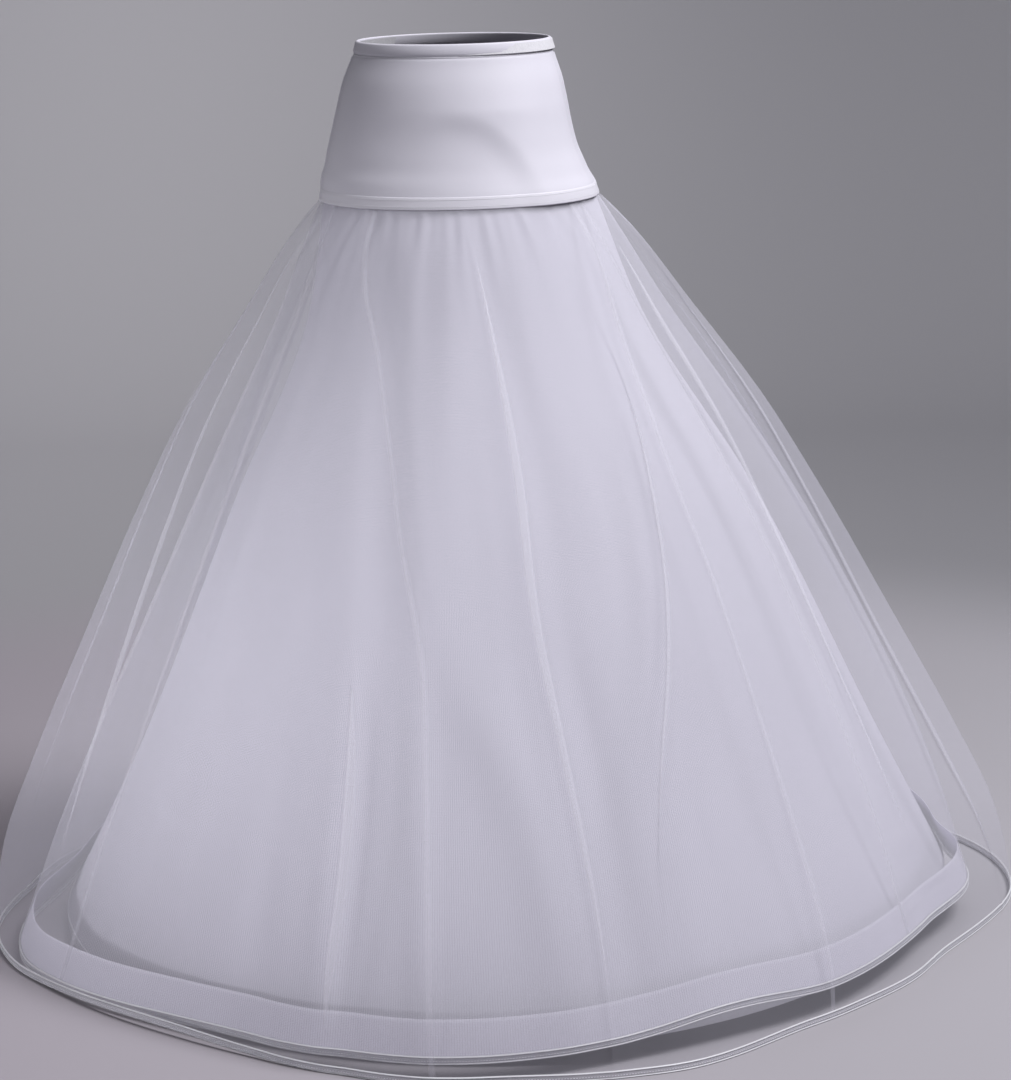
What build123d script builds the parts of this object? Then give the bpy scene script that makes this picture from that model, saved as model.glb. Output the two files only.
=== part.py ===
"""An A-line hoop petticoat, as worn under a wedding dress, standing on its hem.

A smooth stretch yoke with an elastic waist carries three skirt layers: a gored lining held out by
one flat steel hoop at its hem, and two layers of net with wide soft folds over it.
Millimetres, +Z up, the front faces -Y and +X is the viewer's right. The floor is z = 0.
"""
from build123d import *
import math
import os

# Heights above the floor
waist_height = 1000
casing_seam_height = 986
yoke_hem_height = 841
layer_top_height = 829

# The waist stands a little left of and in front of the hem's centre, because the skirt trails back
waist_offset_x = -34
waist_offset_y = -45

# Cloth and trim thicknesses
yoke_wall = 1.2
layer_wall = 1.2
casing_wall = 3.6
casing_channel = 1.7
tape_wall = 3.0
tape_height = 8
facing_wall = 0.8
facing_gap = 0.3
facing_top_height = 62

# Waist elastic: it runs in the channel of the yoke's folded top
elastic_wall = 1.3
elastic_height = 10

# Yoke outline: height, half width, half depth
yoke_outline = [
    (841, 150.5, 120.0),
    (868, 140.5, 112.0),
    (915, 128.0, 101.5),
    (960, 117.0, 92.5),
    (986, 108.5, 85.5),
]
casing_outline = [
    (986, 108.5, 85.5),
    (1000, 104.5, 82.0),
]

# Band sewn over the yoke's lower edge and the tops of all three layers
binding_half_width = 150.8
binding_half_depth = 120.3
binding_wall = 5.6

# Hoop: flat spring steel in a ribbon channel, its plane tilted up towards the viewer's right
hoop_radius = 511
hoop_height = 24
hoop_tilt = 0.03
hoop_wall = 1.2
hoop_width = 7
hoop_end_gap = 3
hoop_casing_wall = 3.4
hoop_casing_height = 14
hoop_channel_wall = 1.8
hoop_channel_height = 8
joiner_length = 36
joiner_wall = 0.25
insertion_gap = 44

# The lining ends on the upper edge of the casing, which stands square to the hoop's plane
lining_hem_height = hoop_height + hoop_casing_height / 2 * math.hypot(1, hoop_tilt)

# Each layer's outline: height, half width, half depth; the last height is that of its lower edge
outer_outline = [
    (layer_top_height, 152.5, 122.0),
    (800, 177, 147),
    (700, 243, 210),
    (600, 305, 270),
    (500, 354, 324),
    (350, 420, 400),
    (200, 485, 470),
    (110, 519, 508),
    (50, 530, 528),
    (tape_height, 532, 531),
]
middle_outline = [
    (layer_top_height, 150.8, 120.3),
    (790, 170, 140),
    (700, 213, 191),
    (600, 268, 249),
    (500, 321, 304),
    (375, 381, 367),
    (250, 437, 427),
    (140, 480, 477),
    (facing_top_height, 506, 505),
    (27, 518, 518),
]
lining_outline = [
    (layer_top_height, 149.1, 118.6),
    (700, 183, 163),
    (500, 285, 275),
    (200, 424, 418),
    (lining_hem_height, hoop_radius, hoop_radius),
]

# Folds: azimuth from the front in degrees, half spread in degrees, height at the hem
outer_folds = [
    (-77, 36, 62),
    (-46, 20, 12),
    (-28, 13, 8),
    (-8, 26, 27),
    (17, 20, 28),
    (56, 13, 5),
    (90, 31, 60),
    (122, 15, 16),
    (150, 14, 18),
    (178, 15, 18),
    (206, 14, 16),
    (232, 14, 16),
    (256, 13, 14),
]
middle_folds = [
    (-70, 30, 58),
    (-46, 20, 12),
    (-27, 12, 8),
    (-6, 30, 27),
    (44, 14, 4),
    (78, 14, 22),
    (119, 14, 8),
    (150, 14, 9),
    (178, 14, 9),
    (206, 14, 8),
    (232, 14, 8),
    (254, 14, 6),
]
no_folds = []

# The two inner layers swing towards the viewer's right halfway down
middle_bow = 22
lining_bow = 16

# Number of flat facets along a quarter of a cloth's edge
facets_per_quarter = 18


def skirt_layer(outline, folds, hem_tilt, bow):
    return {"outline": outline, "folds": folds, "tilt": hem_tilt, "bow": bow}


outer_layer = skirt_layer(outer_outline, outer_folds, 0.0, 0)
middle_layer = skirt_layer(middle_outline, middle_folds, hoop_tilt, middle_bow)
lining_layer = skirt_layer(lining_outline, no_folds, hoop_tilt, lining_bow)


def oval_radius(half_width, half_depth, angle):
    """Distance from an oval's centre to its edge in the direction of the angle."""
    across = half_depth * math.cos(angle)
    along = half_width * math.sin(angle)
    return half_width * half_depth / math.hypot(across, along)


def fold_height(folds, angle):
    """Height of the folds over the plain outline, at the hem."""
    azimuth = math.degrees(angle) + 90
    total = 0.0
    for centre, spread, height in folds:
        away = abs((azimuth - centre + 180) % 360 - 180)
        if away < spread:
            total += height * 0.5 * (1 + math.cos(math.pi * away / spread))
    return total


def layer_point(layer, row, angle, out):
    """A point of a layer's middle surface in one row of its outline, moved outwards by out."""
    height, half_width, half_depth = layer["outline"][row]
    top = layer["outline"][0][0]
    share = (top - height) / (top - layer["outline"][-1][0])
    reach = oval_radius(half_width, half_depth, angle)
    reach += share * fold_height(layer["folds"], angle)
    reach += layer["bow"] * math.sin(math.pi * share) * math.cos(angle)
    reach += out
    lean_x = waist_offset_x / top
    lean_y = waist_offset_y / top
    x = (lean_x * height + reach * math.cos(angle)) / (1 - lean_x * share * layer["tilt"])
    z = height + share * layer["tilt"] * x
    y = lean_y * z + reach * math.sin(angle)
    return Vector(x, y, z)


def facet(*corners):
    return Face(Wire.make_polygon(corners, close=True))


def faceted_solid(rings):
    """A closed solid of flat facets from one ring of points to the next, with flat ends."""
    facets = [facet(*rings[0]), facet(*reversed(rings[-1]))]
    for ring, following in zip(rings, rings[1:]):
        for i in range(len(ring)):
            j = (i + 1) % len(ring)
            facets.append(facet(ring[i], following[i], following[j]))
            facets.append(facet(ring[i], following[j], ring[j]))
    return Solid(Shell(facets))


def spread_angles(start, end):
    """Angles in radians from start to end, which are azimuths from the front in degrees."""
    count = round(facets_per_quarter * (end - start) / 90)
    return [math.radians(start - 90 + (end - start) * i / count) for i in range(count + 1)]


def layer_ring(layer, row, angles, outer_face, inner_face):
    """The edge of a strip of cloth in one row, out along one face and back along the other."""
    outer = [layer_point(layer, row, angle, outer_face) for angle in angles]
    inner = [layer_point(layer, row, angle, inner_face) for angle in angles]
    return outer + inner[::-1]


def layer_panel(layer, start, end):
    """One cut panel of a layer, between two seams."""
    angles = spread_angles(start, end)
    rows = range(len(layer["outline"]))
    return faceted_solid([layer_ring(layer, row, angles, layer_wall / 2, -layer_wall / 2) for row in rows])


def facing_panel(layer, start, end):
    """A strip of lining cloth inside a net panel's hem, between the net's last two rows."""
    angles = spread_angles(start, end)
    outer_face = -layer_wall / 2 - facing_gap
    rows = range(len(layer["outline"]))[-2:]
    return faceted_solid([layer_ring(layer, row, angles, outer_face, outer_face - facing_wall) for row in rows])


def yoke_point(height, half_width, half_depth, angle, out):
    reach = oval_radius(half_width, half_depth, angle) + out
    x = waist_offset_x + reach * math.cos(angle)
    y = waist_offset_y + reach * math.sin(angle)
    return Vector(x, y, height)


def yoke_strip(outline, wall, start, end):
    """A wall of even thickness that follows the yoke's outline."""
    rings = []
    for height, half_width, half_depth in sorted(outline, reverse=True):
        angles = spread_angles(start, end)
        outer = [yoke_point(height, half_width, half_depth, a, wall / 2) for a in angles]
        inner = [yoke_point(height, half_width, half_depth, a, -wall / 2) for a in angles]
        rings.append(outer + inner[::-1])
    return faceted_solid(rings)


def between(outline, low, high):
    """The two-row outline between two heights of a two-row outline."""
    (z0, w0, d0), (z1, w1, d1) = outline
    rows = []
    for height in (low, high):
        share = (height - z0) / (z1 - z0)
        rows.append((height, w0 + share * (w1 - w0), d0 + share * (d1 - d0)))
    return rows


def channel_outline(height):
    middle = (casing_seam_height + waist_height) / 2
    return between(casing_outline, middle - height / 2, middle + height / 2)


def yoke_half(start, end):
    """Half of the yoke with its top folded over into a channel for the elastic."""
    wall = yoke_strip(yoke_outline, yoke_wall, start, end)
    casing = yoke_strip(casing_outline, casing_wall, start, end)
    channel_height = elastic_height + 0.6
    channel = yoke_strip(channel_outline(channel_height), casing_channel, start - 4, end + 4)
    return wall + (casing - channel)


def waist_elastic():
    """The elastic is one closed band, built as two halves that meet."""
    outline = channel_outline(elastic_height)
    front = yoke_strip(outline, elastic_wall, -90, 90)
    back = yoke_strip(outline, elastic_wall, 90, 270)
    return front + back


def yoke_binding():
    half_wall = binding_wall / 2
    face = Ellipse(binding_half_width + half_wall, binding_half_depth + half_wall)
    face -= Ellipse(binding_half_width - half_wall, binding_half_depth - half_wall)
    band = extrude(face, yoke_hem_height - layer_top_height)
    return Pos(waist_offset_x, waist_offset_y, layer_top_height) * band


def hem_tape(layer):
    """Satin edging under a net layer, whose upper face carries the net's lower edge."""
    last_row = len(layer["outline"]) - 1
    angles = spread_angles(-45, 315)[:-1]
    edges = []
    for out in (tape_wall / 2, -tape_wall / 2):
        points = [layer_point(layer, last_row, angle, out) for angle in angles]
        edges.append(Wire.make_polygon(points, close=True))
    face = Face(edges[0], [edges[1]])
    return Solid.extrude(face, Vector(0, 0, -tape_height))


def hoop_plane():
    """The tilted plane of the hoop, centred in the layers' hems and rising towards the viewer's right."""
    slope = Vector(1, 0, hoop_tilt).normalized()
    normal = Vector(-hoop_tilt, 0, 1).normalized()
    up_share = hoop_height / layer_top_height
    x = waist_offset_x * up_share
    y = waist_offset_y * up_share
    centre = Vector(x, y, hoop_height + hoop_tilt * x)
    return Plane(origin=centre, x_dir=slope, z_dir=normal)


def hoop_ring(wall, width):
    """A flat ring of the hoop's radius, on its own plane's origin."""
    ring = Cylinder(hoop_radius + wall / 2, width)
    return ring - Cylinder(hoop_radius - wall / 2, width)


def back_block(length, wall, width):
    """A block across the hoop at the centre back."""
    return Pos(0, hoop_radius, 0) * Box(length, wall, width)


def hoop():
    ring = hoop_ring(hoop_wall, hoop_width)
    ring -= back_block(hoop_end_gap, 4 * hoop_wall, 2 * hoop_width)
    return hoop_plane() * ring


def hoop_joiner():
    """A flat sleeve crimped over the hoop's two ends."""
    sleeve = hoop_ring(hoop_wall + 2 * joiner_wall, hoop_width + 2 * joiner_wall)
    sleeve = sleeve & back_block(joiner_length, 8, 2 * hoop_width)
    sleeve -= hoop_ring(hoop_wall, hoop_width)
    return hoop_plane() * sleeve


def hoop_casing():
    """A ribbon channel round the hoop, slit inside at the back where the hoop goes in."""
    ring = hoop_ring(hoop_casing_wall, hoop_casing_height)
    ring -= hoop_ring(hoop_channel_wall, hoop_channel_height)
    slit_depth = hoop_casing_wall / 2
    slit = Pos(0, hoop_radius - slit_depth, 0) * Box(insertion_gap, 2 * slit_depth, hoop_channel_height)
    return hoop_plane() * (ring - slit)


def quarters(name, panel, layer):
    """Four panels of a layer, with seams a half quarter off the front."""
    sides = ("front", "right", "back", "left")
    return {f"{name}_{side}": panel(layer, 90 * i - 45, 90 * i + 45) for i, side in enumerate(sides)}


def lining_gores():
    """Six gores of the lining, the first across the centre front."""
    sides = ("front", "right_front", "right_back", "back", "left_back", "left_front")
    return {
        f"lining_{side}": layer_panel(lining_layer, 60 * i - 30, 60 * i + 30)
        for i, side in enumerate(sides)
    }


def petticoat():
    parts = {
        "yoke_front": yoke_half(-90, 90),
        "yoke_back": yoke_half(90, 270),
        "waist_elastic": waist_elastic(),
        "yoke_binding": yoke_binding(),
        "outer_hem_tape": hem_tape(outer_layer),
        "middle_hem_tape": hem_tape(middle_layer),
        "hoop_casing": hoop_casing(),
        "hoop": hoop(),
        "hoop_joiner": hoop_joiner(),
    }
    parts.update(quarters("outer_tulle", layer_panel, outer_layer))
    parts.update(quarters("middle_tulle", layer_panel, middle_layer))
    parts.update(quarters("hem_facing", facing_panel, middle_layer))
    parts.update(lining_gores())
    return parts


def centring_shift(parts):
    """The small move that puts the origin under the middle of the whole petticoat."""
    box = Compound(children=[Compound(part.wrapped) for part in parts.values()]).bounding_box()
    middle = box.center()
    return Pos(-middle.X, -middle.Y, 0)


def main():
    os.makedirs("parts", exist_ok=True)
    parts = petticoat()
    shift = centring_shift(parts)
    for name, part in parts.items():
        export_step(shift * part, f"parts/{name}.step")


main()
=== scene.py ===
"""The looks of an A-line hoop petticoat: a stretch yoke, a gored lining on one hoop, and two net layers.

Metres, +Z up, the front faces -Y and +X is the viewer's right. The floor is z = 0.
Azimuths are degrees from the front, positive towards the viewer's right.
"""
import math

import bmesh
import bpy
import numpy as np
from mathutils import Matrix, Vector, noise


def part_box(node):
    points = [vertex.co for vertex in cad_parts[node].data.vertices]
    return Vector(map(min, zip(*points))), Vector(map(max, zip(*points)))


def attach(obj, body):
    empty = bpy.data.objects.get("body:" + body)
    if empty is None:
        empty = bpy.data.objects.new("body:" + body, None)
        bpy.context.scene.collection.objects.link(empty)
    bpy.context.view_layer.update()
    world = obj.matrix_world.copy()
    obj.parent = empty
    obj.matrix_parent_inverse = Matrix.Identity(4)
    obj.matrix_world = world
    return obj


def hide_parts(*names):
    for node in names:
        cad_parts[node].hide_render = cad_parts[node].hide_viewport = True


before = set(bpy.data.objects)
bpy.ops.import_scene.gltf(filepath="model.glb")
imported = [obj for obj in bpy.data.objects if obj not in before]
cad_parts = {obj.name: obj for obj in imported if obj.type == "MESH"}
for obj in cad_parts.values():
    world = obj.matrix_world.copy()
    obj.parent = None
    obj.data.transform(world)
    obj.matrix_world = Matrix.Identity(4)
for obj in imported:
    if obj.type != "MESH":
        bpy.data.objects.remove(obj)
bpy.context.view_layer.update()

# Heights above the floor
WAIST = 1.000
CASING_SEAM = 0.986
YOKE_HEM = 0.841
LAYER_TOP = 0.829
FACING_TOP = 0.062

# The waist stands a little left of and in front of the hem's centre
WAIST_OFFSET = Vector((-0.034, -0.045))

# Yoke: height, half width, half depth, shift towards the viewer's right
YOKE_OUTLINE = [
    (0.829, 0.1535, 0.1225, 0.000),
    (0.841, 0.1505, 0.1200, -0.001),
    (0.855, 0.1455, 0.1160, -0.004),
    (0.866, 0.1412, 0.1125, -0.0045),
    (0.880, 0.1368, 0.1090, -0.006),
    (0.905, 0.1303, 0.1035, -0.006),
    (0.931, 0.1246, 0.0990, -0.005),
    (0.957, 0.1184, 0.0935, -0.004),
    (0.983, 0.1090, 0.0860, -0.0027),
    (1.000, 0.1045, 0.0820, -0.002),
]
YOKE_WALL = 0.0012
CASING_WALL = 0.0036
BAND_RISE = 0.0010

# The yoke's front swell: the centre of its ring, the ring's radius, its widths and rise, where it is fullest
SWELL_AZIMUTH = 3
SWELL_HEIGHT = 0.838
SWELL_YOKE_RADIUS = 0.122
SWELL_RADIUS = 0.092
SWELL_INNER_WIDTH = 0.020
SWELL_OUTER_WIDTH = 0.070
SWELL_RISE = 0.0045
SWELL_DIRECTION = 42

# Skirt layers: height, half width, half depth; the last height is that of the lower edge
OUTER_OUTLINE = [
    (LAYER_TOP, 0.1525, 0.1220),
    (0.800, 0.177, 0.147),
    (0.700, 0.243, 0.210),
    (0.600, 0.305, 0.270),
    (0.500, 0.354, 0.324),
    (0.350, 0.420, 0.400),
    (0.200, 0.485, 0.470),
    (0.110, 0.519, 0.508),
    (0.050, 0.530, 0.528),
    (0.008, 0.532, 0.531),
]
MIDDLE_OUTLINE = [
    (LAYER_TOP, 0.1508, 0.1203),
    (0.790, 0.170, 0.140),
    (0.700, 0.213, 0.191),
    (0.600, 0.268, 0.249),
    (0.500, 0.321, 0.304),
    (0.375, 0.381, 0.367),
    (0.250, 0.437, 0.427),
    (0.140, 0.480, 0.477),
    (0.062, 0.506, 0.505),
    (0.027, 0.518, 0.518),
]
LINING_OUTLINE = [
    (LAYER_TOP, 0.1491, 0.1186),
    (0.700, 0.183, 0.163),
    (0.500, 0.285, 0.275),
    (0.200, 0.424, 0.418),
    (0.031, 0.511, 0.511),
]
HEM_TILT = 0.03
MIDDLE_BOW = 0.022
LINING_BOW = 0.016

# Flares: azimuth, half spread in degrees, height at the hem
OUTER_FLARES = [
    (-77, 36, 0.062), (-46, 20, 0.012), (-28, 13, 0.008), (-8, 26, 0.027), (17, 20, 0.028),
    (56, 13, 0.005), (90, 31, 0.060), (122, 15, 0.016), (150, 14, 0.018), (178, 15, 0.018),
    (206, 14, 0.016), (232, 14, 0.016), (256, 13, 0.014),
]
MIDDLE_FLARES = [
    (-70, 30, 0.058), (-46, 20, 0.012), (-27, 12, 0.008), (-6, 30, 0.027), (44, 14, 0.004),
    (78, 14, 0.022), (119, 14, 0.008), (150, 14, 0.009), (178, 14, 0.009), (206, 14, 0.008),
    (232, 14, 0.008), (254, 14, 0.006),
]

# Where a hem hangs a little higher: azimuth, half spread in degrees, rise
OUTER_LIFT = (-44, 24, 0.006)
MIDDLE_LIFT = (27, 15, 0.010)

# Soft folds that run down all layers: height, azimuth on the lining, half width, rise
FRONT_FOLDS = [
    [(0.80, -4, 0.020, 0.001), (0.63, -7, 0.030, 0.004), (0.50, -8, 0.034, 0.005), (0.38, -4, 0.034, 0.005),
     (0.28, 3, 0.032, 0.005), (0.15, 7, 0.028, 0.004), (0.03, 7, 0.026, 0.003)],
    [(0.80, 10, 0.014, -0.001), (0.63, 15, 0.022, -0.004), (0.50, 16, 0.026, -0.005),
     (0.38, 15, 0.024, -0.005), (0.28, 16, 0.022, -0.005), (0.15, 16, 0.022, -0.004),
     (0.03, 16, 0.022, -0.003)],
    [(0.80, 50, 0.020, 0.001), (0.63, 44, 0.028, 0.004), (0.50, 38, 0.030, 0.005), (0.38, 33, 0.028, 0.005),
     (0.28, 29, 0.024, 0.004), (0.15, 25, 0.022, 0.003), (0.03, 23, 0.020, 0.001)],
    [(0.80, 66, 0.020, -0.001), (0.60, 57, 0.030, -0.003), (0.45, 52, 0.036, -0.004),
     (0.30, 48, 0.036, -0.004), (0.15, 44, 0.036, -0.003), (0.03, 42, 0.034, -0.001)],
    [(0.80, -36, 0.014, -0.001), (0.60, -25, 0.020, -0.003), (0.45, -20, 0.022, -0.004),
     (0.30, -20, 0.022, -0.005), (0.15, -20, 0.022, -0.004), (0.03, -20, 0.022, -0.003)],
    [(0.80, -24, 0.012, 0.001), (0.60, -15, 0.016, 0.002), (0.45, -12, 0.018, 0.003),
     (0.30, -11, 0.018, 0.004), (0.15, -10.5, 0.016, 0.004), (0.03, -10, 0.016, 0.002)],
    [(0.80, -58, 0.014, 0.000), (0.50, -40, 0.020, -0.001), (0.30, -35, 0.024, -0.003),
     (0.15, -34, 0.024, -0.004), (0.03, -33, 0.024, -0.003)],
    [(0.80, -48, 0.012, 0.000), (0.50, -29, 0.014, 0.001), (0.30, -25, 0.016, 0.003),
     (0.15, -24, 0.016, 0.004), (0.03, -23.5, 0.016, 0.002)],
]
ROUND_FOLDS = (68, 300, 15)

# Narrow tucks where the net laps over itself. Each stage down a tuck is its height, the azimuth
# of its free edge, its width and its strength; lap is the side on which the free edge lies.
TUCK_RISE = 0.0022
TUCK_RAMP = 0.010
OUTER_TUCKS = [
    {"lap": -1, "stages": [
        (0.829, -72, 0.006, 0.4), (0.60, -67, 0.010, 0.7), (0.30, -64, 0.012, 0.7),
        (0.01, -62, 0.008, 0.1)]},
    {"lap": -1, "stages": [
        (0.829, -40, 0.005, 0), (0.60, -29, 0.006, 0), (0.42, -21.5, 0.006, 0), (0.34, -20, 0.009, 0.8),
        (0.20, -19.3, 0.011, 1), (0.08, -20, 0.010, 0.8), (0.01, -20, 0.008, 0)]},
    {"lap": 1, "stages": [
        (0.829, 4.5, 0.006, 0.2), (0.73, 8.2, 0.009, 0.7), (0.60, 10, 0.012, 0.9), (0.44, 9.4, 0.012, 0.9),
        (0.31, 10.5, 0.010, 0.9), (0.17, 11.4, 0.008, 0.8), (0.01, 11.2, 0.006, 0.1)]},
    {"lap": -1, "stages": [
        (0.829, 40, 0.004, 0), (0.74, 40, 0.005, 0.1), (0.65, 39, 0.006, 0.6), (0.55, 35.5, 0.008, 0.9),
        (0.46, 31.8, 0.009, 0.9), (0.39, 28, 0.009, 0.9), (0.30, 22.8, 0.008, 0.8), (0.22, 19.6, 0.007, 0.5),
        (0.10, 18, 0.006, 0), (0.01, 17.5, 0.005, 0)]},
    {"lap": 1, "stages": [
        (0.829, 67, 0.005, 0.3), (0.72, 64, 0.008, 0.8), (0.54, 63, 0.010, 0.8), (0.30, 62, 0.010, 0.7),
        (0.01, 61, 0.008, 0.1)]},
    {"lap": -1, "stages": [
        (0.829, 80, 0.005, 0.3), (0.60, 78, 0.010, 1), (0.38, 76.8, 0.012, 1), (0.15, 77.2, 0.012, 0.9),
        (0.01, 79, 0.008, 0.2)]},
]
TUCK_SPREAD = (110, 280, 31)

# Strips inside the net at the front's left and right, which lean with the drape: height, azimuth
OUTER_STRIPS = (
    [(0.008, -8), (0.20, -8.2), (0.31, -8.6), (0.41, -9.6), (0.46, -11.5), (0.52, -14.2), (0.60, -18),
     (0.717, -28.5), (0.74, -32), (LAYER_TOP, -42)],
    [(0.008, 40), (0.15, 41), (0.30, 42), (0.45, 43), (0.60, 43.5), (0.70, 47), (0.78, 54), (LAYER_TOP, 58)],
)
MIDDLE_STRIPS = (
    [(0.027, -60), (0.30, -61), (0.60, -64), (LAYER_TOP, -68)],
    [(0.027, 58), (0.30, 59), (0.60, 62), (LAYER_TOP, 66)],
)

# Fine gathers under the band and the slight unevenness of hanging net
GATHER_HEIGHT = 0.0010
GATHER_DEPTH = 0.02
GATHER_FADE = 0.055
WOBBLE = 0.0012

# Trims
TAPE_HEIGHT = 0.008
EDGE_WALL = 0.0022
EDGE_HEIGHT = 0.0020
SEAM_STRIP = 0.006
STITCH = 0.0021
STITCH_STEP = 0.0030
STITCH_WALL = 0.00028

# Camera: where it stands from the waist's axis, how it is turned, and its lens
CAMERA_PLACE = Vector((0.042, -3.300, 1.250))
CAMERA_PITCH = 13.85
CAMERA_ROLL = -1.35
CAMERA_LENS = 100
CAMERA_SENSOR = 36

low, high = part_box("yoke_binding")
waist_axis = (low + high) / 2
hem_centre = Vector((waist_axis.x - WAIST_OFFSET.x, waist_axis.y - WAIST_OFFSET.y))


# Shapes in numbers

def curve_through(places, values):
    """A smooth curve through values at rising places, made of cubic pieces."""
    places = np.array(places, float)
    values = np.array(values, float)
    slopes = np.gradient(values, places)

    def value(place):
        i = np.clip(np.searchsorted(places, place) - 1, 0, len(places) - 2)
        step = places[i + 1] - places[i]
        t = np.clip((place - places[i]) / step, 0, 1)
        start = values[i] * (1 + 2 * t) * (1 - t) ** 2 + slopes[i] * step * t * (1 - t) ** 2
        end = values[i + 1] * t * t * (3 - 2 * t) + slopes[i + 1] * step * t * t * (t - 1)
        return start + end

    return value


def stage_curves(stages):
    """Each column of a list of stages as a smooth function of height, which is the first column."""
    rows = sorted(stages)
    heights = [row[0] for row in rows]
    return [curve_through(heights, [row[i] for row in rows]) for i in range(1, len(rows[0]))]


def oval_radius(half_width, half_depth, angle):
    return half_width * half_depth / np.hypot(half_depth * np.cos(angle), half_width * np.sin(angle))


def turn_between(azimuth, centre):
    return np.abs((azimuth - centre + 180) % 360 - 180)


def cosine_bumps(bumps, azimuth):
    total = np.zeros_like(azimuth)
    for centre, spread, height in bumps:
        away = turn_between(azimuth, centre)
        total += np.where(away < spread, height * 0.5 * (1 + np.cos(np.pi * away / spread)), 0)
    return total


def skirt_layer(outline, flares, tucks, tilt, bow, fold_share, fold_spread, lift=()):
    half_width, half_depth = stage_curves(outline)
    return {
        "half_width": half_width, "half_depth": half_depth, "flares": flares, "tucks": tucks,
        "tilt": tilt, "bow": bow, "top": outline[0][0], "low": outline[-1][0],
        "fold_share": fold_share, "fold_spread": fold_spread, "lift": lift,
    }


def round_folds():
    """Even soft folds round the sides and the back, where the front's own folds end."""
    folds = []
    start, end, step = ROUND_FOLDS
    for i, azimuth in enumerate(range(start, end, step)):
        rise = 0.0035 + 0.0012 * math.sin(2.3 * i)
        sway = 3 * math.sin(1.7 * i)
        folds.append([(0.80, azimuth, 0.016, 0.001), (0.50, azimuth + sway, 0.026, rise),
                      (0.03, azimuth, 0.034, rise)])
    return folds


SOFT_FOLDS = [stage_curves(stages) for stages in FRONT_FOLDS + round_folds()]


def fold_relief(layer, height, azimuth):
    """Rise of the soft folds on a layer at one height."""
    radius = float(layer["half_width"](height))
    total = np.zeros_like(azimuth)
    for place, width, rise in SOFT_FOLDS:
        centre = place(height)
        if centre < ROUND_FOLDS[0]:
            centre = centre * layer["fold_spread"]
        away = np.radians(turn_between(azimuth, centre)) * radius
        total += rise(height) * np.exp(-((away / width(height)) ** 2))
    return total * layer["fold_share"]


def layer_points(layer, height, azimuth, out):
    """Points of a layer's surface at one height of its outline, moved outwards by out."""
    share = (layer["top"] - height) / (layer["top"] - layer["low"])
    angle = np.radians(azimuth - 90)
    reach = oval_radius(layer["half_width"](height), layer["half_depth"](height), angle)
    reach = reach + share * cosine_bumps(layer["flares"], azimuth)
    reach = reach + layer["bow"] * math.sin(math.pi * share) * np.cos(angle) + out
    lean_x = WAIST_OFFSET.x / layer["top"]
    lean_y = WAIST_OFFSET.y / layer["top"]
    x = (lean_x * height + reach * np.cos(angle)) / (1 - lean_x * share * layer["tilt"])
    z = height + share * layer["tilt"] * x
    y = lean_y * z + reach * np.sin(angle)
    z = z + share ** 8 * cosine_bumps(layer["lift"], azimuth)
    return np.stack([x + hem_centre.x, y + hem_centre.y, z], axis=-1)


# Tucks

def tuck_profile(width):
    """A tuck's section across the net: sideways place from its free edge and rise, left to right."""
    edge = TUCK_RISE / 2
    corners = [
        (-width - TUCK_RAMP, 0), (-width - TUCK_RAMP / 2, 0.8), (-width, 1.7), (-width / 2, 2), (-edge, 2),
        (0, 1.5), (-edge, 1), (-width / 2, 1), (edge - width, 1), (-width, 0.5),
        (edge - width, 0), (-width / 2, 0), (0, 0), (TUCK_RAMP, 0),
    ]
    places = np.arange(len(corners), dtype=float)
    steps = np.linspace(0, len(corners) - 1, 3 * (len(corners) - 1) + 1)
    aside = curve_through(places, [corner[0] for corner in corners])(steps)
    rise = curve_through(places, [corner[1] for corner in corners])(steps) * TUCK_RISE
    return aside, rise


def tuck_row(tuck, height, radius):
    """Azimuths and rises across one tuck at a height."""
    edge, width, strength = [float(curve(height)) for curve in tuck["curves"]]
    strength = min(1, max(0, strength))
    aside, rise = tuck_profile(width)
    flat = np.linspace(aside[0], aside[-1], len(aside))
    aside = (flat + strength * (aside - flat)) * (0.4 + 0.6 * strength)
    rise = strength * rise
    if tuck["lap"] < 0:
        aside = -aside[::-1]
        rise = rise[::-1]
    return edge + np.degrees(aside / radius), rise


def with_curves(tucks):
    return [{"lap": tuck["lap"], "curves": stage_curves(tuck["stages"])} for tuck in tucks]


def spread_tucks(shift):
    """Plain tucks at even steps round the back."""
    start, end, step = TUCK_SPREAD
    tucks = []
    for i, azimuth in enumerate(range(start + shift, end, step)):
        sway = 2 * math.sin(2.1 * i + shift)
        stages = [(LAYER_TOP, azimuth + 2 * sway, 0.005, 0.4), (0.60, azimuth + sway, 0.009, 0.9),
                  (0.30, azimuth, 0.012, 0.9), (0.01, azimuth - sway, 0.008, 0.1)]
        tucks.append({"lap": (-1) ** i, "stages": stages})
    return tucks


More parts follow.
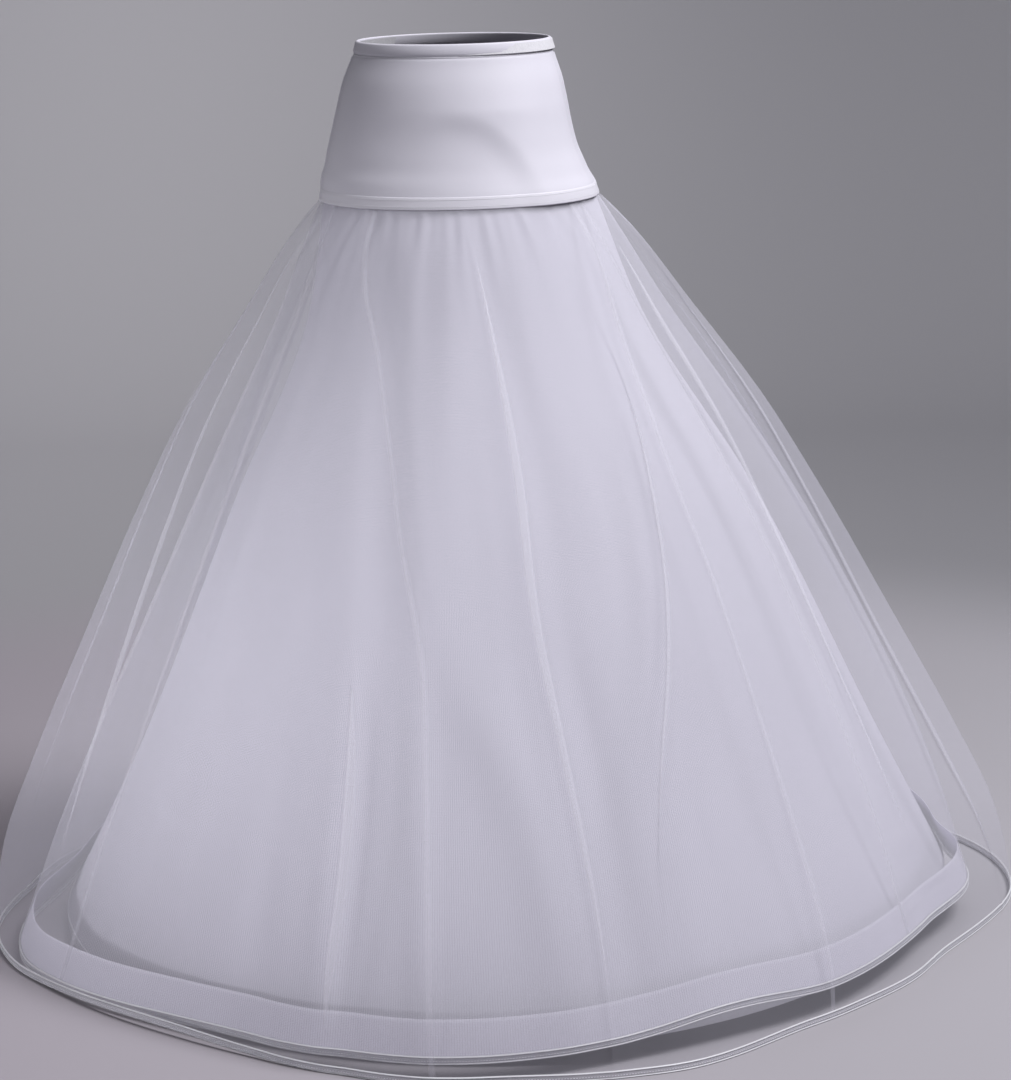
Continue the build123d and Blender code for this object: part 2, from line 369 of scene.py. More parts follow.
def panel_row(layer, height, start, end, columns):
    """Azimuths and rises across a panel at one height, with its tucks."""
    radius = float(layer["half_width"](height))
    middle = (layer["seams"][0](0.3) + layer["seams"][1](0.3)) / 2
    inside = []
    for tuck in layer["tucks"]:
        lower = float(tuck["curves"][0](0.3))
        turn = 360 * round((middle - lower) / 360)
        if layer["seams"][0](0.3) < lower + turn < layer["seams"][1](0.3):
            azimuth, rise = tuck_row(tuck, height, radius)
            inside.append((lower + turn, azimuth + turn, rise))
    inside.sort(key=lambda found: found[0])
    azimuths, rises = [np.array([start])], [np.array([0.0])]
    plain = max(6, columns // (len(inside) + 1))
    for _, azimuth, rise in inside:
        gap = np.linspace(azimuths[-1][-1], azimuth[0], plain + 1)[1:-1]
        azimuths += [gap, azimuth]
        rises += [np.zeros_like(gap), rise]
    gap = np.linspace(azimuths[-1][-1], end, plain + 1)[1:]
    azimuths.append(gap)
    rises.append(np.zeros_like(gap))
    return np.concatenate(azimuths), np.concatenate(rises)


# Unevenness

def gathers(azimuth, depth):
    """Small gathers below the band, deepest a little way down."""
    waves = np.sin(np.radians(azimuth * 38)) + 0.6 * np.sin(np.radians(azimuth * 61 + 40))
    waves += 0.5 * np.sin(np.radians(azimuth * 23 + 110))
    if depth < GATHER_DEPTH:
        swell = (depth / GATHER_DEPTH) * math.exp(1 - depth / GATHER_DEPTH)
    else:
        swell = math.exp(-(depth - GATHER_DEPTH) / GATHER_FADE)
    return GATHER_HEIGHT * swell * waves


def wobble(points, size, seed):
    """A slow unevenness that runs mostly down the cloth."""
    spread = []
    for x, y, z in points:
        around = math.atan2(y - hem_centre.y, x - hem_centre.x)
        spread.append(noise.noise(Vector((math.cos(around) * 6, math.sin(around) * 6, z * 1.8 + seed))))
    return np.array(spread) * size


# Meshes

def grid_mesh(name, rows):
    """A mesh of quads from rows of points, with a map in metres along and across the cloth."""
    rows = np.array(rows)
    count, width = rows.shape[:2]
    mesh = bpy.data.meshes.new(name)
    index = np.arange(count * width).reshape(count, width)
    quads = np.stack([index[:-1, :-1], index[1:, :-1], index[1:, 1:], index[:-1, 1:]], axis=-1)
    mesh.from_pydata(rows.reshape(-1, 3).tolist(), [], quads.reshape(-1, 4).tolist())
    middle = rows[count // 2]
    across = np.concatenate([[0], np.cumsum(np.linalg.norm(np.diff(middle, axis=0), axis=1))])
    down = np.concatenate([[0], np.cumsum(np.linalg.norm(np.diff(rows[:, width // 2], axis=0), axis=1))])
    layout = mesh.uv_layers.new(name="Cloth")
    places = np.stack(np.broadcast_arrays(across[None, :], -down[:, None]), axis=-1).reshape(-1, 2)
    loops = np.zeros(len(mesh.loops), np.int32)
    mesh.loops.foreach_get("vertex_index", loops)
    layout.data.foreach_set("uv", places[loops].astype(np.float32).ravel())
    mesh.polygons.foreach_set("use_smooth", [True] * len(mesh.polygons))
    mesh.update()
    return mesh


def weld(mesh):
    """Joins the points that meet where a surface closes on itself, and closes its open ends."""
    work = bmesh.new()
    work.from_mesh(mesh)
    bmesh.ops.remove_doubles(work, verts=work.verts, dist=1e-6)
    bmesh.ops.holes_fill(work, edges=[edge for edge in work.edges if edge.is_boundary], sides=0)
    bmesh.ops.recalc_face_normals(work, faces=work.faces)
    work.to_mesh(mesh)
    work.free()


def place(name, mesh, material, slot, *nodes):
    """The mesh as a piece of the petticoat, standing for the nodes."""
    piece = bpy.data.objects.new(name, mesh)
    bpy.context.scene.collection.objects.link(piece)
    mesh.materials.append(material)
    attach(piece, "root")
    if nodes:
        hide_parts(*nodes)
    return piece


# Materials

def principled(name, colour, roughness, alpha=1.0, sheen=0.0, metallic=0.0, specular=0.5):
    material = bpy.data.materials.new(name)
    material.use_nodes = True
    shader = material.node_tree.nodes["Principled BSDF"]
    shader.inputs["Base Color"].default_value = (*colour, 1)
    shader.inputs["Roughness"].default_value = roughness
    shader.inputs["Alpha"].default_value = alpha
    shader.inputs["Metallic"].default_value = metallic
    shader.inputs["Specular IOR Level"].default_value = specular
    shader.inputs["Sheen Weight"].default_value = sheen
    return material


def add(material, kind, **settings):
    node = material.node_tree.nodes.new(kind)
    for name, value in settings.items():
        setattr(node, name, value)
    return node


def link(material, source, target):
    material.node_tree.links.new(source, target)


def cloth_map(material, across, down):
    """The cloth's own map, scaled so that one unit is one thread across and one down."""
    uv = add(material, "ShaderNodeUVMap", uv_map="Cloth")
    scale = add(material, "ShaderNodeMapping")
    scale.inputs["Scale"].default_value = (1 / across, 1 / down, 1)
    link(material, uv.outputs["UV"], scale.inputs["Vector"])
    return scale.outputs["Vector"]


def ramp_between(material, source, dark, light, start=0.0, end=1.0):
    ramp = add(material, "ShaderNodeValToRGB")
    ramp.color_ramp.elements[0].position = start
    ramp.color_ramp.elements[1].position = end
    ramp.color_ramp.elements[0].color = (*dark, 1)
    ramp.color_ramp.elements[1].color = (*light, 1)
    link(material, source, ramp.inputs["Fac"])
    return ramp.outputs["Color"]


def threads(material, across, down):
    """Crossing threads as a height between 0 and 1."""
    vector = cloth_map(material, across, down)
    heights = []
    for direction in ("X", "Y"):
        wave = add(material, "ShaderNodeTexWave", wave_type="BANDS", bands_direction=direction)
        wave.inputs["Scale"].default_value = 2 / math.tau
        wave.inputs["Distortion"].default_value = 0
        link(material, vector, wave.inputs["Vector"])
        heights.append(wave.outputs["Fac"])
    pick = add(material, "ShaderNodeMath", operation="MAXIMUM")
    link(material, heights[0], pick.inputs[0])
    link(material, heights[1], pick.inputs[1])
    return pick.outputs[0]


def shade(colour, share):
    return tuple(c * share for c in colour)


def relief_from(material, height, strength, distance):
    bump = add(material, "ShaderNodeBump")
    bump.inputs["Strength"].default_value = strength
    bump.inputs["Distance"].default_value = distance
    link(material, height, bump.inputs["Height"])
    link(material, bump.outputs["Normal"], material.node_tree.nodes["Principled BSDF"].inputs["Normal"])


def net(name, colour, mesh_size, alpha):
    """Sheer net: crossing threads, lighter than the holes between them."""
    material = principled(name, colour, 0.9, alpha=alpha, specular=0.0)
    height = threads(material, mesh_size, mesh_size)
    colours = ramp_between(material, height, shade(colour, 0.86), colour)
    link(material, colours, material.node_tree.nodes["Principled BSDF"].inputs["Base Color"])
    return material


def woven(name, colour, roughness, across, down, bump, cloudiness=0.05, **settings):
    """Cloth of crossing threads with a slight cloudiness."""
    material = principled(name, colour, roughness, **settings)
    height = threads(material, across, down)
    cloud = add(material, "ShaderNodeTexNoise")
    cloud.inputs["Scale"].default_value = 1
    cloud.inputs["Detail"].default_value = 1
    link(material, cloth_map(material, 0.05, 0.18), cloud.inputs["Vector"])
    clouded = ramp_between(material, cloud.outputs["Fac"], shade(colour, 1 - cloudiness), colour, 0.3, 0.7)
    grain = ramp_between(material, height, (0.88, 0.88, 0.88), (1, 1, 1))
    mix = add(material, "ShaderNodeMix", data_type="RGBA", blend_type="MULTIPLY")
    mix.inputs["Factor"].default_value = 1
    link(material, clouded, mix.inputs["A"])
    link(material, grain, mix.inputs["B"])
    link(material, mix.outputs["Result"], material.node_tree.nodes["Principled BSDF"].inputs["Base Color"])
    if bump:
        relief_from(material, height, bump, min(across, down) / 3)
    return material


KNIT = woven("yoke_knit_white", (0.785, 0.765, 0.87), 0.5, 0.0007, 0.0011, 0.25, 0.02, specular=0.3)
BAND = woven("binding_white", (0.82, 0.80, 0.90), 0.5, 0.0006, 0.0009, 0.3, 0.02, specular=0.3)
SATIN = woven("satin_white", (0.84, 0.83, 0.90), 0.32, 0.0004, 0.0003, 0.15, 0.02)
OUTER_NET = net("outer_net_white", (0.88, 0.865, 0.98), 0.0016, 0.22)
MIDDLE_NET = net("middle_net_white", (0.88, 0.865, 0.98), 0.0016, 0.27)
HEM_NET = net("hem_net_white", (0.85, 0.84, 0.94), 0.0016, 0.45)
LINING = woven("lining_white", (0.80, 0.77, 0.925), 0.9, 0.0006, 0.0006, 0, 0.05, specular=0.0)


def node_grain(material, size, dark, light):
    """Fine streaks for the thread and the CAD pieces, which have no map of their own."""
    place_in = add(material, "ShaderNodeTexCoord")
    stretch = add(material, "ShaderNodeMapping")
    stretch.inputs["Scale"].default_value = size
    link(material, place_in.outputs["Object"], stretch.inputs["Vector"])
    streaks = add(material, "ShaderNodeTexNoise")
    streaks.inputs["Scale"].default_value = 1
    streaks.inputs["Detail"].default_value = 3
    link(material, stretch.outputs["Vector"], streaks.inputs["Vector"])
    shader = material.node_tree.nodes["Principled BSDF"]
    colours = ramp_between(material, streaks.outputs["Fac"], dark, light, 0.3, 0.7)
    link(material, colours, shader.inputs["Base Color"])
    relief_from(material, streaks.outputs["Fac"], 0.2, 0.0002)
    return material


STEEL = node_grain(principled("spring_steel_bright", (0.6, 0.6, 0.62), 0.3, metallic=1.0),
                   (90, 90, 1600), (0.50, 0.51, 0.53), (0.62, 0.63, 0.65))
SLEEVE = node_grain(principled("sleeve_steel_bright", (0.6, 0.6, 0.62), 0.35, metallic=1.0),
                    (400, 400, 400), (0.58, 0.58, 0.60), (0.72, 0.72, 0.74))
TWILL = node_grain(principled("casing_twill_white", (0.8, 0.79, 0.87), 0.5),
                   (900, 900, 1500), (0.72, 0.71, 0.79), (0.82, 0.81, 0.89))
ELASTIC = node_grain(principled("elastic_white", (0.75, 0.74, 0.80), 0.7),
                     (1200, 1200, 300), (0.66, 0.65, 0.71), (0.78, 0.77, 0.83))
THREAD = node_grain(principled("thread_white", (0.84, 0.83, 0.90), 0.45),
                    (2500, 2500, 2500), (0.78, 0.77, 0.84), (0.87, 0.86, 0.93))


# The skirt's layers

def straight_seams(start, end):
    return [lambda height: float(start), lambda height: float(end)]


def panel_heights(layer, rows):
    """Heights down a layer, closer together near the band."""
    return [layer["top"] - (i / rows) ** 1.3 * (layer["top"] - layer["low"]) for i in range(rows + 1)]


def panel_points(layer, height, columns, gathered, seed, out=0.0):
    """One row of points across a panel."""
    start, end = layer["seams"][0](height), layer["seams"][1](height)
    azimuth, rise = panel_row(layer, height, start, end, columns)
    depth = layer["top"] - height
    share = depth / (layer["top"] - layer["low"])
    near_edge = min(1, depth / 0.05) * (0.35 + 0.65 * min(1, (1 - share) / 0.12))
    out = rise + out + fold_relief(layer, height, azimuth) * near_edge
    if gathered:
        out = out + gathers(azimuth, depth)
    points = layer_points(layer, height, azimuth, out)
    return layer_points(layer, height, azimuth, out + wobble(points, WOBBLE * near_edge, seed))


def layer_panel(name, layer, material, slot, node, rows, columns, gathered, seed):
    """One cut panel of a layer, as a single surface."""
    lines = [panel_points(layer, height, columns, gathered, seed) for height in panel_heights(layer, rows)]
    return place(name, grid_mesh(name, lines), material, slot, node), lines


def seam_strip(name, layer, seam, material, slot, out):
    """The narrow allowance of a seam, inside the cloth."""
    rows = []
    for height in panel_heights(layer, 60):
        radius = float(layer["half_width"](height))
        azimuth = seam(height) + np.degrees(np.linspace(-SEAM_STRIP / 2, SEAM_STRIP / 2, 4) / radius)
        near_edge = min(1, (layer["top"] - height) / 0.05)
        near_edge *= 0.35 + 0.65 * min(1, (height - layer["low"]) / 0.1)
        rise = fold_relief(layer, height, azimuth) * near_edge
        rows.append(layer_points(layer, height, azimuth, rise - out))
    return place(name, grid_mesh(name, rows), material, slot)


outer_tucks = with_curves(OUTER_TUCKS + spread_tucks(0))
middle_tucks = with_curves(spread_tucks(14))
outer_layer = skirt_layer(OUTER_OUTLINE, OUTER_FLARES, outer_tucks, 0.0, 0, 0.8, 0.87, [OUTER_LIFT])
middle_layer = skirt_layer(
    MIDDLE_OUTLINE, MIDDLE_FLARES, middle_tucks, HEM_TILT, MIDDLE_BOW, 0.9, 0.92, [MIDDLE_LIFT])
lining_layer = skirt_layer(LINING_OUTLINE, [], [], HEM_TILT, LINING_BOW, 1.0, 1.0)

SIDES = ("front", "right", "back", "left")
GORES = ("front", "right_front", "right_back", "back", "left_back", "left_front")
OUTER_SEED = 3
MIDDLE_SEED = 11
LINING_SEED = 23


def net_layer(title, layer, material, slot, seed, rows, columns, front_strips):
    """Four panels of net, the strips inside them, and the line of the lower edge."""
    panels, strips, hem = [], [], []
    left, right = [stage_curves(stages)[0] for stages in front_strips]
    seams = [right] + straight_seams(135, 225) + [left]
    for i, side in enumerate(SIDES):
        node = f"{title}_{side}"
        cut = {**layer, "seams": straight_seams(90 * i - 45, 90 * i + 45)}
        piece, lines = layer_panel(f"{node}_net", cut, material, slot, node, rows, columns, True, seed)
        strips.append(seam_strip(f"{node}_seam", layer, seams[i], material, slot, 0.0012))
        panels.append(piece)
        hem.append(lines[-1][:-1])
    # Bounced light passes the nets, which keeps the render short
    for piece in panels + strips:
        piece.visible_diffuse = False
    return panels, strips, np.concatenate(hem)


outer_panels, outer_strips, outer_hem = net_layer(
    "outer_tulle", outer_layer, OUTER_NET, "outer_net", OUTER_SEED, 92, 150, OUTER_STRIPS)
middle_panels, middle_strips, middle_hem = net_layer(
    "middle_tulle", middle_layer, MIDDLE_NET, "middle_net", MIDDLE_SEED, 72, 110, MIDDLE_STRIPS)

gore_pieces, gore_strips = [], []
for i, side in enumerate(GORES):
    node = f"lining_{side}"
    cut = {**lining_layer, "seams": straight_seams(60 * i - 30, 60 * i + 30)}
    gore, _ = layer_panel(f"{node}_cloth", cut, LINING, "lining_cloth", node, 56, 72, False, LINING_SEED)
    gore_pieces.append(gore)
    gore_strips.append(seam_strip(f"{node}_seam", cut, cut["seams"][1], LINING, "lining_cloth", 0.0010))


def hem_facing(index, side):
    """The strip of lining cloth inside the middle net's hem, its upper edge turned in."""
    cut = {**middle_layer, "tucks": [], "seams": straight_seams(90 * index - 45, 90 * index + 45)}
    heights = np.linspace(FACING_TOP, cut["low"], 9)
    rows = [panel_points(cut, FACING_TOP - drop, 90, False, MIDDLE_SEED, -out)
            for drop, out in ((0.004, 0.0024), (0.0005, 0.0024), (0.0001, 0.0021))]
    rows += [panel_points(cut, height, 90, False, MIDDLE_SEED, -0.0016) for height in heights]
    name = f"hem_facing_{side}_cloth"
    return place(name, grid_mesh(name, rows), LINING, "lining_cloth", f"hem_facing_{side}")


facings = [hem_facing(i, side) for i, side in enumerate(SIDES)]


# Trims round the hems

def ring_tube(name, line, section, material, slot, *nodes):
    """A closed band along a closed line: section is a list of (outwards, up) offsets."""
    ahead = np.roll(line, -1, axis=0) - np.roll(line, 1, axis=0)
    outwards = np.stack([ahead[:, 1], -ahead[:, 0], np.zeros(len(line))], axis=-1)
    outwards /= np.linalg.norm(outwards, axis=1)[:, None]
    rows = []
    for out, up in section + section[:1]:
        row = line + outwards * out + np.array([0, 0, up])
        rows.append(np.concatenate([row, row[:1]]))
    mesh = grid_mesh(name, rows)
    weld(mesh)
    return place(name, mesh, material, slot, *nodes)


def rounded_section(wall, bottom, top, steps=4):
    """A flat ribbon's section with rounded edges."""
    radius = wall / 2
    section = []
    for centre, start in ((top - radius, 0), (bottom + radius, 180)):
        for i in range(steps + 1):
            angle = math.radians(start + 180 * i / steps)
            section.append((radius * math.cos(angle), centre + radius * math.sin(angle)))
    return section


def even_line(line, spacing):
    """The closed line again, with evenly spaced points."""
    closed = np.concatenate([line, line[:1]])
    along = np.concatenate([[0], np.cumsum(np.linalg.norm(np.diff(closed, axis=0), axis=1))])
    count = int(along[-1] / spacing)
    places = np.linspace(0, along[-1], count, endpoint=False)
    return np.stack([np.interp(places, along, closed[:, i]) for i in range(3)], axis=-1)


def stitches(name, line, out, up, slot):
    """A row of short threads along a closed line."""
    points = even_line(line, STITCH_STEP)
    ahead = np.roll(points, -1, axis=0) - points
    ahead /= np.linalg.norm(ahead, axis=1)[:, None]
    outwards = np.stack([ahead[:, 1], -ahead[:, 0], np.zeros(len(points))], axis=-1)
    upwards = np.cross(outwards, ahead)
    vertices, faces = [], []
    ends = ((0, 0.35), (0.2, 1), (0.8, 1), (1, 0.35))
    for point, along, outward, upward in zip(points, ahead, outwards, upwards):
        first = len(vertices)
        start = point + outward * (out + STITCH_WALL * 0.5) + np.array([0, 0, up])
        for place_along, thick in ends:
            centre = start + along * (place_along * STITCH)
            for side, lift in ((1, 0), (0, 1), (-1, 0), (0, -1)):
                vertices.append(centre + (upward * side + outward * lift) * STITCH_WALL * thick)
        for ring in range(3):
            for corner in range(4):
                a = first + 4 * ring + corner
                b = first + 4 * ring + (corner + 1) % 4
                faces.append((a, b, b + 4, a + 4))
        faces.append((first + 3, first + 2, first + 1, first))
        faces.append((first + 12, first + 13, first + 14, first + 15))
    mesh = bpy.data.meshes.new(name)
    mesh.from_pydata([tuple(v) for v in vertices], [], faces)
    return place(name, mesh, THREAD, slot)


def hem_tape(title, line, node):
    """A narrow edging: two satin edges with doubled net between them, and a row of stitches."""
    points = even_line(line, 0.005)
    web_section = rounded_section(0.0010, -TAPE_HEIGHT + EDGE_HEIGHT / 2, -EDGE_HEIGHT / 2, 2)
    web = ring_tube(f"{title}_web", points, web_section, HEM_NET, "satin", node)
    upper_section = rounded_section(EDGE_WALL, -EDGE_HEIGHT / 2, EDGE_HEIGHT / 2)
    upper = ring_tube(f"{title}_upper_edge", points, upper_section, SATIN, "satin", node)
    lower_section = rounded_section(EDGE_WALL, -TAPE_HEIGHT, -TAPE_HEIGHT + EDGE_HEIGHT)
    lower = ring_tube(f"{title}_lower_edge", points, lower_section, SATIN, "satin", node)
    row = stitches(f"{title}_stitches", points, 0.0006, -TAPE_HEIGHT / 2, "satin")
    return [web, upper, lower, row]


outer_trim = hem_tape("outer_hem", outer_hem, "outer_hem_tape")
middle_trim = hem_tape("middle_hem", middle_hem, "middle_hem_tape")

CAD_MATERIALS = {"hoop_casing": TWILL, "hoop": STEEL, "hoop_joiner": SLEEVE, "waist_elastic": ELASTIC}
for node, material in CAD_MATERIALS.items():
    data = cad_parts[node].data
    data.materials.clear()
    data.materials.append(material)


# The yoke

yoke_width, yoke_depth, yoke_shift = stage_curves(YOKE_OUTLINE)


def front_swell(height, azimuth):
    """A low rounded ridge across the yoke's front, with a steeper inner side, round a shallow hollow."""
    across = np.radians(azimuth - SWELL_AZIMUTH) * SWELL_YOKE_RADIUS
    up = height - SWELL_HEIGHT
    away = np.hypot(across, up)
    toward = np.arctan2(up, across)
    width = np.where(away < SWELL_RADIUS, SWELL_INNER_WIDTH, SWELL_OUTER_WIDTH)
    ridge = np.exp(-(((away - SWELL_RADIUS) / width) ** 2))
    window = np.clip(np.cos((toward - math.radians(SWELL_DIRECTION)) * 0.85), 0, 1) ** 1.5
    fade = np.clip((WAIST - 0.02 - height) / 0.05, 0, 1)
    front = np.where(turn_between(azimuth, 0) < 80, 1.0, 0.0)
    return SWELL_RISE * ridge * window * fade * front


def yoke_points(height, azimuth, out):
    angle = np.radians(azimuth - 90)
    reach = oval_radius(yoke_width(height), yoke_depth(height), angle) + front_swell(height, azimuth) + out
    x = waist_axis.x + float(yoke_shift(height)) + reach * np.cos(angle)
    y = waist_axis.y + reach * np.sin(angle)
    return np.stack([x, y, np.full_like(x, height)], axis=-1)


def yoke_profile():
    """Heights and offsets round the yoke's section: up outside, over the folded top, down inside."""
    wall = YOKE_WALL / 2
    bulge = CASING_WALL / 2
    outside = [(z, wall) for z in np.linspace(YOKE_HEM - 0.006, CASING_SEAM - 0.004, 44)]
    outside += [
        (CASING_SEAM - 0.0022, wall * 0.8), (CASING_SEAM - 0.0008, -wall * 0.4),
        (CASING_SEAM + 0.0008, -wall * 0.2), (CASING_SEAM + 0.0022, wall * 1.6),
        (CASING_SEAM + 0.004, bulge), (CASING_SEAM + 0.009, bulge),
    ]
    top = []
    for i in range(9):
        angle = math.radians(180 * i / 8)
        top.append((WAIST - bulge + bulge * math.sin(angle), bulge * math.cos(angle)))
    inside = [(z, -o) for z, o in reversed(outside)]
    return outside + top + inside


def yoke_half(name, start, end, node):
    azimuth = np.linspace(start, end, 145)
    rows = [yoke_points(height, azimuth, out) for height, out in yoke_profile()]
    mesh = grid_mesh(name, rows + rows[:1])
    weld(mesh)
    return place(name, mesh, KNIT, "yoke_knit", node)


yoke_front = yoke_half("yoke_front_knit", -90, 90, "yoke_front")
yoke_back = yoke_half("yoke_back_knit", 90, 270, "yoke_back")


def side_seam(name, azimuth):
    """A flat felled seam up the yoke's side."""
    rows = []
    for height in np.linspace(YOKE_HEM, CASING_SEAM - 0.003, 40):
        aside = np.array([-0.0036, -0.0034, -0.002, 0, 0.002, 0.0034, 0.0036])
        spread = np.degrees(aside / yoke_width(height))
        out = YOKE_WALL / 2 + np.array([-0.0004, 0.0004, 0.0008, 0.0009, 0.0008, 0.0004, -0.0004])
        rows.append(yoke_points(height, azimuth + spread, out))
    return place(name, grid_mesh(name, rows), BAND, "yoke_knit")


side_seams = [side_seam("yoke_left_seam", -90), side_seam("yoke_right_seam", 90)]


def ring_at(height, out):
    return yoke_points(height, np.linspace(0, 360, 361)[:-1], out)


def lapped_band():
    """The lapped band at the yoke's lower edge, lying on the yoke outside and on the net inside."""
    bottom, top = LAYER_TOP - 0.0004, YOKE_HEM + 0.001
    section = [(bottom, 0.0004), (bottom + 0.0002, BAND_RISE * 0.8)]
    section += [(height, BAND_RISE) for height in np.linspace(bottom + 0.001, top - 0.001, 9)]
    section += [(top - 0.0002, BAND_RISE * 0.8), (top, 0.0004), (top, -0.0006)]
    section += [(height, -0.0030) for height in np.linspace(top - 0.001, bottom + 0.001, 5)]
    azimuth = np.linspace(0, 360, 289)
    rows = [yoke_points(height, azimuth, out) for height, out in section + section[:1]]
    mesh = grid_mesh("yoke_band", rows)
    weld(mesh)
    return place("yoke_band", mesh, BAND, "binding", "yoke_binding")


yoke_band = lapped_band()
band_stitches = [
    stitches("band_upper_stitches", ring_at(YOKE_HEM - 0.0018, BAND_RISE), 0, 0, "binding"),
    stitches("band_lower_stitches", ring_at(LAYER_TOP + 0.0030, BAND_RISE), 0, 0, "binding"),
]
casing_stitches = stitches("casing_stitches", ring_at(CASING_SEAM, 0), 0.0002, 0, "yoke_knit")


# The room: grey paper on the floor that turns up into the wall, with light and its falloff painted into the
# paper's colour

# Painted light: a painted pool of light round the object fades between these two distances into painted
# falloff further off
PAINTED_POOL_START = 1.1
PAINTED_POOL_END = 1.75
# The paper's grey with painted light: near the object and further off, each painted lighter on the viewer's
# left and darker on the right
PAPER_AND_PAINTED_POOL_LEFT = (0.45, 0.41, 0.465)
PAPER_AND_PAINTED_POOL_RIGHT = (0.46, 0.445, 0.49)
PAPER_AND_PAINTED_FALLOFF_LEFT = (0.44, 0.43, 0.465)
PAPER_AND_PAINTED_FALLOFF_RIGHT = (0.32, 0.315, 0.345)
TURN_START = 2.6
TURN_RADIUS = 1.2


def stage_surface(name, rows, material):
    mesh = grid_mesh(name, rows)
    piece = bpy.data.objects.new(name, mesh)
    bpy.context.scene.collection.objects.link(piece)
    mesh.materials.append(material)
    return piece


def studio_paper_painted_light():
    """Grey paper with painted light: a painted pool of light round the object, painted falloff darker
    further off, and painted light a little lighter on the viewer's left.
    """
    material = principled("studio_grey_painted_light", (0.3, 0.3, 0.32), 0.9, specular=0.1)
    place_in = add(material, "ShaderNodeTexCoord")
    flat = add(material, "ShaderNodeVectorMath", operation="MULTIPLY")
    flat.inputs[1].default_value = (1, 1, 0)
    link(material, place_in.outputs["Object"], flat.inputs[0])
    length = add(material, "ShaderNodeVectorMath", operation="LENGTH")
    link(material, flat.outputs["Vector"], length.inputs[0])
    # Painted pool of light round the object, fading into painted falloff further off
    near = add(material, "ShaderNodeMapRange", interpolation_type="SMOOTHSTEP")
    near.inputs["From Min"].default_value = PAINTED_POOL_START
    near.inputs["From Max"].default_value = PAINTED_POOL_END
    link(material, length.outputs["Value"], near.inputs["Value"])
    split = add(material, "ShaderNodeSeparateXYZ")
    link(material, place_in.outputs["Object"], split.inputs["Vector"])
    # Painted light across the paper: lighter on the viewer's left, darker on the right
    across = add(material, "ShaderNodeMapRange", interpolation_type="SMOOTHSTEP")
    across.inputs["From Min"].default_value = -1.0
    across.inputs["From Max"].default_value = 1.0
    link(material, split.outputs["X"], across.inputs["Value"])
    floor = ramp_between(material, across.outputs["Result"], PAPER_AND_PAINTED_POOL_LEFT, PAPER_AND_PAINTED_POOL_RIGHT)
    wall = ramp_between(material, across.outputs["Result"], PAPER_AND_PAINTED_FALLOFF_LEFT, PAPER_AND_PAINTED_FALLOFF_RIGHT)
    mix = add(material, "ShaderNodeMix", data_type="RGBA")
    link(material, near.outputs["Result"], mix.inputs["Factor"])
    link(material, floor, mix.inputs["A"])
    link(material, wall, mix.inputs["B"])
    shader = material.node_tree.nodes["Principled BSDF"]
    link(material, mix.outputs["Result"], shader.inputs["Base Color"])
    # The wall is clear from behind, so that it doesn't hide the object's back
    geometry = add(material, "ShaderNodeNewGeometry")
    clear = add(material, "ShaderNodeBsdfTransparent")
    sides = add(material, "ShaderNodeMixShader")
    link(material, geometry.outputs["Backfacing"], sides.inputs[0])
    link(material, shader.outputs["BSDF"], sides.inputs[1])
    link(material, clear.outputs["BSDF"], sides.inputs[2])
    link(material, sides.outputs["Shader"], material.node_tree.nodes["Material Output"].inputs["Surface"])
    return material


sweep = [(y, 0.0) for y in np.linspace(-6.0, TURN_START, 20)]
for i in range(1, 17):
    angle = math.radians(90 * i / 16)
    sweep.append((TURN_START + TURN_RADIUS * math.sin(angle), TURN_RADIUS * (1 - math.cos(angle))))
sweep.append((TURN_START + TURN_RADIUS, 6.0))
sweep_rows = [[(x, y, z) for x in np.linspace(7, -7, 15)] for y, z in sweep]
stage_surface("studio_sweep", sweep_rows, studio_paper_painted_light())


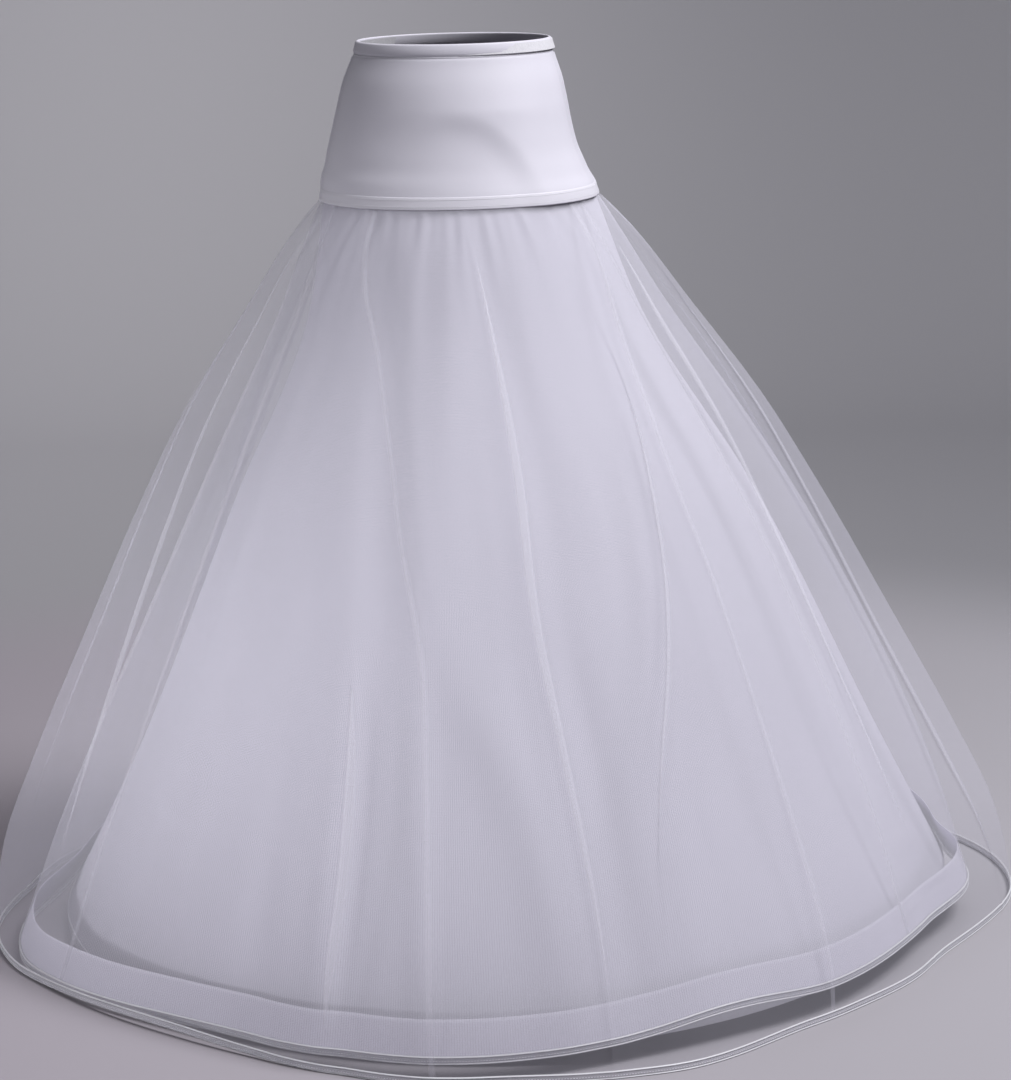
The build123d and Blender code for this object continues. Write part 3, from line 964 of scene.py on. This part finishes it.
def lamp(name, place_at, aim, width, height, power, spread=180):
    data = bpy.data.lights.new(name, "AREA")
    data.shape = "RECTANGLE"
    data.size = width
    data.size_y = height
    data.energy = power
    data.spread = math.radians(spread)
    lamp_object = bpy.data.objects.new(name, data)
    lamp_object.location = place_at
    lamp_object.rotation_euler = (Vector(aim) - Vector(place_at)).to_track_quat("-Z", "Y").to_euler()
    bpy.context.scene.collection.objects.link(lamp_object)
    return lamp_object


lamp("key", (2.15, -1.10, 3.80), (0, 0, 0.6), 1.4, 1.4, 155)
lamp("top", (0.85, -0.20, 3.70), (0, 0, 0.4), 1.6, 1.6, 18)
lamp("rim", (-2.4, 1.6, 1.3), (0, 0, 0.7), 0.5, 1.6, 3)
lamp("low_fill", (-1.9, -2.2, 0.45), (-0.20, -0.1, 0.38), 0.8, 0.3, 1.2, 30)
lamp("side_fill", (-2.6, 0.2, 0.45), (-0.4, 0, 0.35), 0.8, 0.3, 0.7, 30)
lamp("backdrop", (-1.5, 1.8, 3.6), (-0.8, 3.8, 1.6), 1.5, 1.5, 22, 110)

world = bpy.data.worlds.new("studio_air")
world.use_nodes = True
world.node_tree.nodes["Background"].inputs["Color"].default_value = (0.80, 0.80, 0.86, 1)
world.node_tree.nodes["Background"].inputs["Strength"].default_value = 0.10
bpy.context.scene.world = world

camera_data = bpy.data.cameras.new("camera")
camera_data.lens = CAMERA_LENS
camera_data.sensor_width = CAMERA_SENSOR
camera_data.clip_end = 60
camera = bpy.data.objects.new("camera", camera_data)
bpy.context.scene.collection.objects.link(camera)
camera_turn = Matrix.Rotation(math.radians(90 - CAMERA_PITCH), 4, "X")
camera_turn = camera_turn @ Matrix.Rotation(math.radians(CAMERA_ROLL), 4, "Z")
camera_place = Vector((waist_axis.x + CAMERA_PLACE.x, waist_axis.y + CAMERA_PLACE.y, CAMERA_PLACE.z))
camera.matrix_world = Matrix.Translation(camera_place) @ camera_turn
bpy.context.scene.camera = camera

scene = bpy.context.scene
scene.view_settings.view_transform = "Standard"
scene.cycles.max_bounces = 2
scene.cycles.diffuse_bounces = 1
scene.cycles.glossy_bounces = 0
scene.cycles.transmission_bounces = 0
scene.cycles.transparent_max_bounces = 12
scene.cycles.light_sampling_threshold = 0.25
scene.cycles.caustics_reflective = False
scene.cycles.caustics_refractive = False
